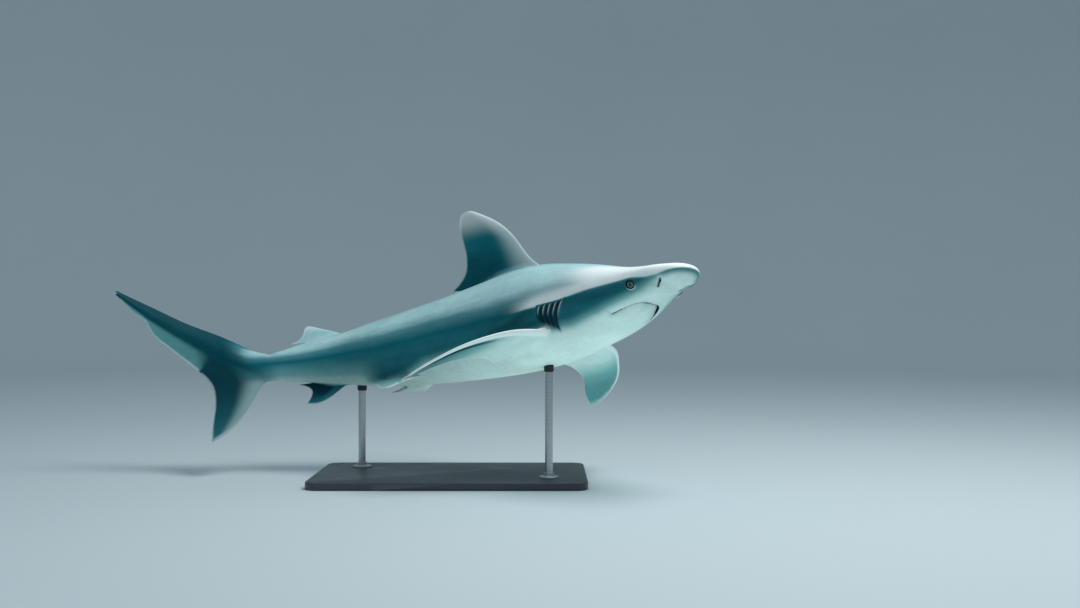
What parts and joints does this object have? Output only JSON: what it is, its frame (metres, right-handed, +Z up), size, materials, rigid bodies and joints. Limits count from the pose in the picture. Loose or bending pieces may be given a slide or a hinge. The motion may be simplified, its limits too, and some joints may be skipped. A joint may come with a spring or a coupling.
{
  "type": "shark model on a display stand",
  "caption": "Life-size swimming sandbar shark, bent and banked, with a tall first dorsal fin, held by two rods on a flat display base.",
  "frame": {"origin": "middle of the underside of the stand's base", "axes": "+X along the base toward the animal's head, +Z up; the animal's right flank faces -Y"},
  "size_m": [1.5483, 0.7031, 0.7278],
  "materials": {
    "skin": "satin painted skin, grey back fading to a pale belly",
    "eye": "polished dark glass eye",
    "stand_paint": "satin black paint",
    "stand_steel": "brushed"
  },
  "bodies": {
    "root": {"head": "skin", "lower_jaw": "skin", "gill_region": "skin", "trunk_front": "skin", "trunk_middle": "skin", "trunk_rear": "skin", "tail_stalk": "skin", "caudal_upper_lobe": "skin", "caudal_lower_lobe": "skin", "first_dorsal_fin": "skin", "second_dorsal_fin": "skin", "anal_fin": "skin", "pectoral_fin_right": "skin", "pectoral_fin_left": "skin", "pelvic_fin_right": "skin", "pelvic_fin_left": "skin", "eye_right": "eye", "eye_left": "eye", "stand_base": "stand_paint", "stand_rod_front": "stand_steel", "stand_rod_rear": "stand_steel"}
  },
  "joints": []
}
